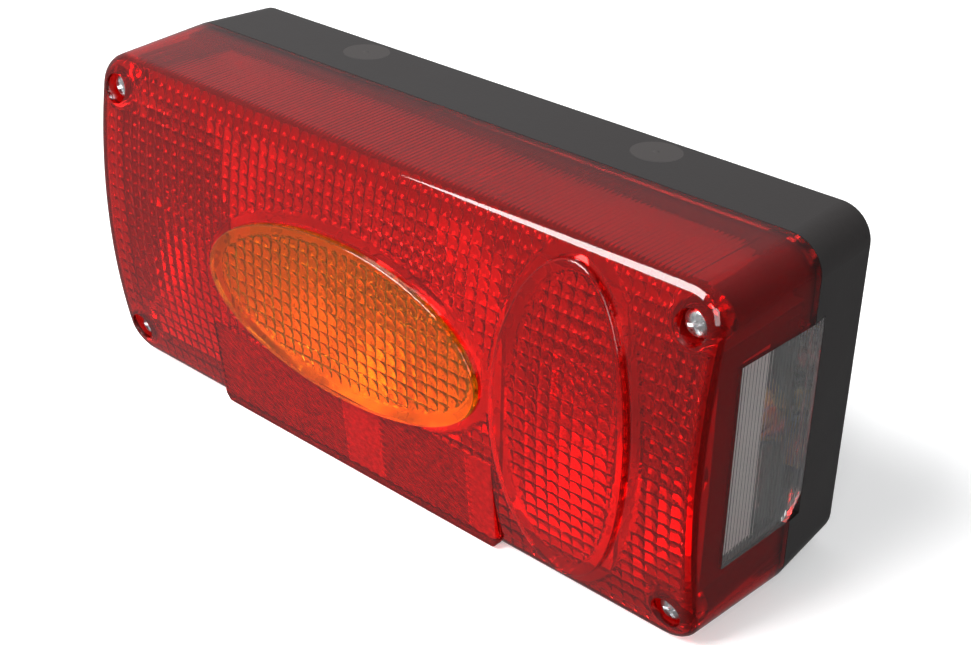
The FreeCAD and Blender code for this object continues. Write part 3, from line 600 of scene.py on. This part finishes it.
# Painted shade: near black, for the floor of the plate bulb's room.
dark = Finish("plate_room_shade", Roughness=0.45)
dark.set(Base_Color=dark.blend(dark.noise(60.0, 3.0), (0.012, 0.012, 0.012, 1), (0.025, 0.024, 0.024, 1)))
mirror.on(tray)
for finish in (bare, banded, dark):
    tray.data.materials.append(finish.material)
paint_tray(tray)
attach(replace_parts(tray, "reflector_tray"), "housing")

# ---------------------------------------------------------------- housing
# The back of the lamp, moulded in black plastic with a satin skin. Two round gate marks show on its
# top, each a slightly sunk matt disc with a small stub at its centre.

GATE_ACROSS, GATE_DEEP = 0.0515, 0.009

black = Finish("black_plastic")
aside = (black.axis(0).math("ABSOLUTE") - GATE_ACROSS).math("POWER", 2.0)
behind = (black.axis(1) + GATE_DEEP).math("POWER", 2.0)
from_gate = (aside + behind).math("SQRT")
on_top = black.between(black.axis(2), 0.040, 0.044)
disc = black.between(from_gate, 0.0066, 0.0069, 1.0, 0.0) * on_top
stub = black.between(from_gate, 0.0004, 0.0009, 1.0, 0.0) * on_top
cloud = black.noise(22.0, 4.0)
surface = black.blend(cloud, (0.013, 0.011, 0.0105, 1), (0.021, 0.018, 0.0175, 1))
black.set(Base_Color=black.blend(disc, surface, (0.036, 0.032, 0.031, 1)),
          Roughness=black.between(cloud, 0.3, 0.7, 0.36, 0.46) + disc * 0.18)
black.bump(black.noise(1400.0) * 0.25 + cloud * 0.5 - disc + stub * 2.0, 0.0002, 0.35)
black.on(nodes["housing"])

# ---------------------------------------------------------------- rubber parts
# The sealing cord in the rim, a grommet for the cable and a ring under each lens screw, all in soft
# black rubber with a matt, slightly bloomed skin.

rubber = Finish("soft_rubber")
bloom = rubber.noise(70.0, 5.0)
rubber.set(Base_Color=rubber.blend(bloom, (0.016, 0.016, 0.017, 1), (0.05, 0.05, 0.05, 1)),
           Roughness=rubber.between(bloom, 0.3, 0.7, 0.6, 0.8))
rubber.bump(rubber.noise(900.0), 0.0001, 0.4)
soft = ("gasket", "cable_grommet", "lens_washer")
rubber.on(*(node for name, node in nodes.items() if name.startswith(soft)))

# ---------------------------------------------------------------- lens screws
# Four self-tapping screws in zinc-plated steel: a low round head with a combined cross and slot, and
# a cut thread. Each turns in its post and draws its washer along.


def lathe(name, profile, across=0.0, up=0.0, count=40, closed=False, thread=None):
    """A turned solid about a line from back to front, through pairs of radius and depth. A thread, given as
    its depth, pitch, start and end, takes a V out of the radius that moves on with the angle."""
    radius, depth = np.asarray(profile, float).T[:, :, None]
    angle = np.linspace(0, 2 * np.pi, count, endpoint=False)[None]
    if thread:
        cut, pitch, start, end = thread
        wave = np.abs(2 * np.mod(depth / pitch + angle / (2 * np.pi), 1) - 1)
        radius = radius - np.where((depth > start) & (depth < end), cut * wave, 0)
    rings = np.stack([across + radius * np.cos(angle), depth + 0 * angle, up + radius * np.sin(angle)], -1)
    if closed:
        index = np.arange(len(rings) * count).reshape(-1, count)
        index = np.concatenate([index, index[:1]])
        after = np.roll(index, -1, 1)
        quads = np.stack([index[:-1], after[:-1], after[1:], index[1:]], -1)
        return crisp(put_in(name, rings.reshape(-1, 3), quads.reshape(-1, 4)), 35)
    return crisp(stack(name, rings), 35)


def lens_screw(name, across, up):
    """A threaded shank with a point and a domed head, with its drive cut out."""
    core, head, rim = 1.75, 3.5, 58.0
    shank = [(0.3, 35.5), (1.35, 36.9)]
    shank += [(core, deep) for deep in np.arange(37.0, 54.5, 0.18)]
    turns = np.radians(np.linspace(0, 84, 9))
    dome = [(head * math.cos(turn), 58.6 + 1.35 * math.sin(turn)) for turn in turns]
    profile = shank + [(core, rim), (head, rim)] + dome
    body = lathe(name, profile, across, up, thread=(0.38, 1.41, 37.1, 53.5))
    thin, arm = 0.45, 2.3
    cross = [(-arm, -thin), (-thin, -thin), (-thin, -arm), (thin, -arm), (thin, -thin), (arm, -thin),
             (arm, thin), (thin, thin), (thin, arm), (-thin, arm), (-thin, thin), (-arm, thin)]
    turned = np.radians(24)
    spin = np.array([(math.cos(turned), math.sin(turned)), (-math.sin(turned), math.cos(turned))])
    drive = prism("drive", np.array(cross) @ spin + (across, up), 58.8, 62.0)
    return carve(body, [("DIFFERENCE", drive)], 35)


zinc = Finish("zinc_steel", Metallic=1.0)
zinc.set(Base_Color=zinc.blend(zinc.noise(500.0, 3.0), (0.7, 0.71, 0.72, 1), (0.88, 0.89, 0.9, 1)),
         Roughness=zinc.between(zinc.noise(900.0), 0.3, 0.7, 0.2, 0.38))
for side, side_name in ((-1, "left"), (1, "right")):
    for level, level_name in ((-1, "bottom"), (1, "top")):
        corner = "%s_%s" % (level_name, side_name)
        screw = lens_screw("cover_screw_" + corner, side * SCREW_ACROSS, level * SCREW_UP)
        zinc.on(screw)
        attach(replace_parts(screw, "lens_screw_" + corner), "screw_" + corner)

# ---------------------------------------------------------------- bulbs
# Three round bayonet bulbs and a smaller one for the plate. The glass is blown, the cap is pressed
# brass with two pins, and the tungsten coil hangs on two steel leads.


def envelope(name, across, belly, tip, waist):
    """A glass skin: a straight neck that swells, by a smooth step up to the waist, into a ball of the
    belly's radius which ends at the tip."""
    neck, glass_wall = 6.6, 0.45
    middle = tip - belly
    low = np.linspace(23.0, middle, 16)
    share = np.clip((low - 27.0) / (waist - 27.0), 0, 1)
    ball = np.sqrt(np.maximum(belly ** 2 - (np.maximum(low, waist) - middle) ** 2, 0))
    outer = [(neck + (wide - neck) * s * s * (3 - 2 * s), deep) for s, wide, deep in zip(share, ball, low)]
    turn = np.radians(np.linspace(0, 90, 14))[1:]
    outer += [(belly * math.cos(angle) + 1e-4, middle + belly * math.sin(angle)) for angle in turn]
    inner = [(max(wide - glass_wall, 1e-4), min(deep, tip - glass_wall)) for wide, deep in outer]
    return lathe(name, outer + inner[::-1], across, closed=True)


def rope(path, radius, sides=8):
    """Vertices and faces of a wire along a path, each ring square to it, with flat ends."""
    path = np.asarray(path, float)
    along = np.gradient(path, axis=0)
    along /= np.linalg.norm(along, axis=1, keepdims=True)
    first = np.cross(along, (0.21, 0.34, 0.92))
    first /= np.linalg.norm(first, axis=1, keepdims=True)
    second = np.cross(along, first)
    angle = np.linspace(0, 2 * np.pi, sides, endpoint=False)[None, :, None]
    rings = path[:, None] + radius * (first[:, None] * np.cos(angle) + second[:, None] * np.sin(angle))
    index = np.arange(len(path) * sides).reshape(-1, sides)
    after = np.roll(index, -1, 1)
    quads = np.stack([index[:-1], after[:-1], after[1:], index[1:]], -1).reshape(-1, 4)
    return rings.reshape(-1, 3), [*quads, index[0][::-1], index[-1]]


def wires(name, ropes):
    """One piece from several wires."""
    vertices, faces, start = [], [], 0
    for points, cells in ropes:
        vertices.append(points)
        faces += [np.asarray(cell) + start for cell in cells]
        start += len(points)
    return crisp(put_in(name, np.concatenate(vertices), faces), 50)


def filament(name, across, depth):
    """Two leads, and a coil of eleven turns between them that sags a little in the middle."""
    coil_radius, sag = 0.24, 0.28
    leads = [rope([(across + side * 3.2, deep, 0.0) for deep in np.linspace(14.2, depth, 12)], 0.3, 10)
             for side in (-1, 1)]
    share = np.linspace(0, 1, 220)
    turn = 2 * np.pi * 11 * share
    middle = depth - sag * np.sin(np.pi * share)
    coil = np.stack([across - 3.2 + 6.4 * share, middle + coil_radius * np.cos(turn),
                     coil_radius * np.sin(turn)], -1)
    return wires(name, leads + [rope(coil, 0.09, 6)])


glass = Finish("bulb_glass", IOR=1.47, Transmission_Weight=1.0)
smear = glass.noise(45.0, 3.0)
glass.set(Base_Color=glass.blend(smear, (0.97, 0.98, 0.98, 1), (0.92, 0.94, 0.94, 1)),
          Roughness=glass.between(smear, 0.4, 0.8, 0.0, 0.06))
brass = Finish("brass", Metallic=1.0)
tarnish = brass.noise(120.0, 5.0)
brass.set(Base_Color=brass.blend(tarnish, (0.82, 0.62, 0.27, 1), (0.58, 0.41, 0.17, 1)),
          Roughness=brass.between(tarnish, 0.3, 0.7, 0.22, 0.42))
drawn = Finish("drawn_wire", Metallic=1.0)
drawn.set(Base_Color=drawn.blend(drawn.noise(700.0), (0.36, 0.36, 0.38, 1), (0.5, 0.5, 0.52, 1)),
          Roughness=drawn.between(drawn.noise(1500.0), 0.3, 0.7, 0.25, 0.45))
LARGE = {"belly": 12.3, "tip": 59.0, "waist": 38.0}
SMALL = {"belly": 7.5, "tip": 45.4, "waist": 33.0}
for bulb, across in BULBS.items():
    small = bulb == "plate"
    skin = envelope("glass_" + bulb, across, **(SMALL if small else LARGE))
    glass.on(skin)
    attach(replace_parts(skin, "bulb_glass_" + bulb), "bulb_" + bulb)
    coil = filament("coil_" + bulb, across, 34.6 if small else 40.8)
    drawn.on(coil)
    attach(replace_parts(coil, "filament_" + bulb), "bulb_" + bulb)
    brass.on(nodes["bulb_cap_" + bulb])

# ---------------------------------------------------------------- sockets and contacts
# Each bulb stands in a plated steel tube with two bayonet slots. An insulating disc with a brass stud
# presses on it from below, pushed by a small coil spring that stands on the feed strip.


def contact_spring(name, across):
    """Four and a half turns of wire between the strip and the disc, with its end turns closed up."""
    share = np.linspace(0, 1, 160)
    turn = 2 * np.pi * 4.5 * share
    depth = 3.66 + 3.78 * (share - 0.06 * np.sin(2 * np.pi * share))
    return wires(name, [rope(np.stack([across + 3.12 * np.cos(turn), depth, 3.12 * np.sin(turn)], -1), 0.34)])


paper = Finish("hard_paper")
fibre = paper.noise(260.0, 6.0)
paper.set(Base_Color=paper.blend(fibre, (0.16, 0.07, 0.03, 1), (0.3, 0.15, 0.075, 1)),
          Roughness=paper.between(fibre, 0.3, 0.7, 0.45, 0.65))
for bulb, across in BULBS.items():
    coil = contact_spring("coil_spring_" + bulb, across)
    drawn.on(coil)
    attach(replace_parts(coil, "spring_" + bulb), "housing")
    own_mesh(coil)
    paper.on(nodes["contact_" + bulb])
    zinc.on(nodes["socket_" + bulb])

# ---------------------------------------------------------------- contact strips
# Pressed brass strips on the housing's floor: one joins the four sockets and the others lead from each
# spring to upturned blades beside the cable entry.

brass.on(*(node for name, node in nodes.items() if name.startswith(("earth_strip", "feed_strip"))))

# ---------------------------------------------------------------- studs and tray screws
# Two threaded steel studs for mounting, with round heads held inside the back, and the four small
# screws that hold the tray.


def stud(name, across):
    """A head, a collar in the wall and a threaded shank with a short point."""
    radius, collar, head = 2.5, 3.5, 4.6
    shank = [(radius, -deep) for deep in np.arange(0.05, 19.0, 0.1)]
    profile = [(1e-4, 6.0), (4.2, 6.0), (head, 5.6), (head, 2.5), (collar, 2.5), (collar, 0.0), (radius, 0.0)]
    profile += shank + [(radius, -19.0), (1.8, -20.0), (1e-4, -20.0)]
    return lathe(name, profile, across, count=32, thread=(0.4, 0.8, -18.9, -0.4))


for side, across in (("left", -76.0), ("right", 76.0)):
    pin = stud("threaded_stud_" + side, across)
    zinc.on(pin)
    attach(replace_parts(pin, "stud_" + side), "housing")
zinc.on(nodes["tray_screws"])

# ---------------------------------------------------------------- floor, light and camera
# A pale floor that glows slightly and shows in no reflection, a large soft light above and to the left,
# a weaker one on the right, and a pale room that is brighter to the left and above.

bpy.context.scene.view_settings.view_transform = "Standard"
room = bpy.data.worlds.new("room")
room.use_nodes = True
bpy.context.scene.world = room
sky = room.node_tree.nodes.new("ShaderNodeTexCoord")
towards_light = room.node_tree.nodes.new("ShaderNodeVectorMath")
towards_light.operation = "DOT_PRODUCT"
towards_light.inputs[1].default_value = (-0.29, 0.04, 0.15)
feed(towards_light.inputs[0], Wire(sky.outputs["Generated"]))
backdrop = room.node_tree.nodes["Background"]
feed(backdrop.inputs["Strength"], Wire(towards_light.outputs["Value"]) * 0.65 + 0.25)
feed(backdrop.inputs["Color"], (0.97, 0.98, 1.0, 1))

spread, ground = 9000, -49.3
corners = [(-spread, -spread), (spread, -spread), (spread, spread), (-spread, spread)]
floor = put_in("floor", [(across, deep, ground) for across, deep in corners], [(0, 1, 2, 3)])
Finish("pale_floor", Base_Color=(0.93, 0.93, 0.93, 1), Roughness=0.7, Emission_Color=(1, 1, 1, 1),
       Emission_Strength=0.25).on(floor)
floor.visible_glossy = False
floor.visible_transmission = False


def soft_light(name, place, aim, size, power):
    """A square soft light at a place, facing a point."""
    lamp = bpy.data.lights.new(name, "AREA")
    lamp.size, lamp.energy = size, power
    light = bpy.data.objects.new(name, lamp)
    light.location = place
    light.rotation_euler = (Vector(aim) - Vector(place)).to_track_quat("-Z", "Y").to_euler()
    bpy.context.scene.collection.objects.link(light)


soft_light("key", (-0.33, -0.7, 0.85), (0, 0, 0), 0.7, 28)
soft_light("fill", (0.9, -1.05, 0.6), (0, 0, 0), 0.9, 14)

right, up, back = (0.74646, 0.66535, 0.01085), (-0.34004, 0.36737, 0.86569), (0.57199, -0.64989, 0.50047)
camera_data = bpy.data.cameras.new("camera")
camera_data.lens, camera_data.sensor_width = 58.72, 36
camera = bpy.data.objects.new("camera", camera_data)
stand = Matrix((right, up, back)).transposed().to_4x4()
stand.translation = (0.2604, -0.3101, 0.2090)
camera.matrix_world = stand
bpy.context.scene.collection.objects.link(camera)
bpy.context.scene.camera = camera
